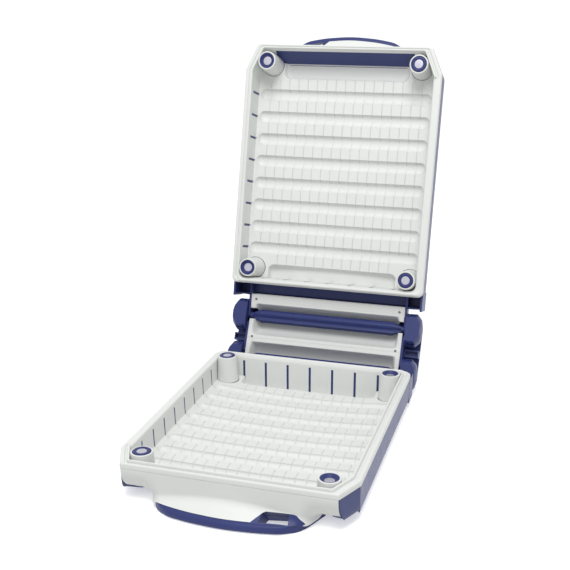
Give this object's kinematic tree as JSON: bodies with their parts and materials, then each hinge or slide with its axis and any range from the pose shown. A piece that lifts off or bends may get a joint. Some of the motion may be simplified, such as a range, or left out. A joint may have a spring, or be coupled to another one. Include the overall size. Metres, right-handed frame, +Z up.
{
  "type": "hinged two-tray carrying case",
  "caption": "Flat carrying case of two equal ribbed trays on a double-axis spine hinge, with corner posts and a bowed front handle with a lanyard loop.",
  "frame": {"origin": "centre of the lower tray's flat underside", "axes": "+Z up, +Y towards the hinge, +X to the right seen from the handle"},
  "size_m": [0.2604, 0.5352, 0.4363],
  "materials": {
    "white_plastic": "fine satin moulded plastic, off-white",
    "navy_plastic": "satin moulded plastic, navy",
    "navy_grip": "satin moulded plastic, navy, slightly softer sheen",
    "satin_metal": "satin nickel-plated magnet",
    "dark_screw": "blackened steel screw"
  },
  "bodies": {
    "base": {"base_shell": "navy_plastic", "base_liner": "white_plastic", "base_window_panel": "navy_plastic", "base_front_fascia": "white_plastic", "base_handle_grip": "navy_grip", "base_post_plugs": "navy_plastic", "base_post_sockets": "navy_plastic", "base_magnets": "satin_metal", "base_hinge_strip": "white_plastic", "base_strip_screws": "dark_screw", "base_hinge_rod": "navy_plastic", "base_post_front_left": "white_plastic", "base_post_front_right": "white_plastic", "base_post_rear_left": "white_plastic", "base_post_rear_right": "white_plastic"},
    "spine": {"spine_cover": "navy_plastic", "spine_panel": "white_plastic", "spine_screws": "dark_screw", "spine_side_plate_left": "navy_plastic", "spine_side_plate_right": "navy_plastic", "spine_bracket_left": "navy_plastic", "spine_bracket_right": "navy_plastic", "spine_cap_lower_left": "navy_plastic", "spine_cap_lower_right": "navy_plastic", "spine_cap_upper_left": "navy_plastic", "spine_cap_upper_right": "navy_plastic"},
    "lid": {"lid_shell": "navy_plastic", "lid_liner": "white_plastic", "lid_window_panel": "navy_plastic", "lid_front_fascia": "white_plastic", "lid_handle_grip": "navy_grip", "lid_post_plugs": "navy_plastic", "lid_post_sockets": "navy_plastic", "lid_magnets": "satin_metal", "lid_hinge_strip": "white_plastic", "lid_strip_screws": "dark_screw", "lid_hinge_rod": "navy_plastic", "lid_post_front_left": "white_plastic", "lid_post_front_right": "white_plastic", "lid_post_rear_left": "white_plastic", "lid_post_rear_right": "white_plastic"}
  },
  "joints": [
    {"name": "spine_fold", "type": "hinge", "parent": "base", "child": "spine", "pos_m": [0, 0.201, 0.0222], "axis": [1, 0, 0], "range_deg": [0, 29]},
    {"name": "lid_fold", "type": "hinge", "parent": "spine", "child": "lid", "pos_m": [0, 0.22989, 0.07433], "axis": [1, 0, 0], "range_deg": [0, 77]}
  ]
}
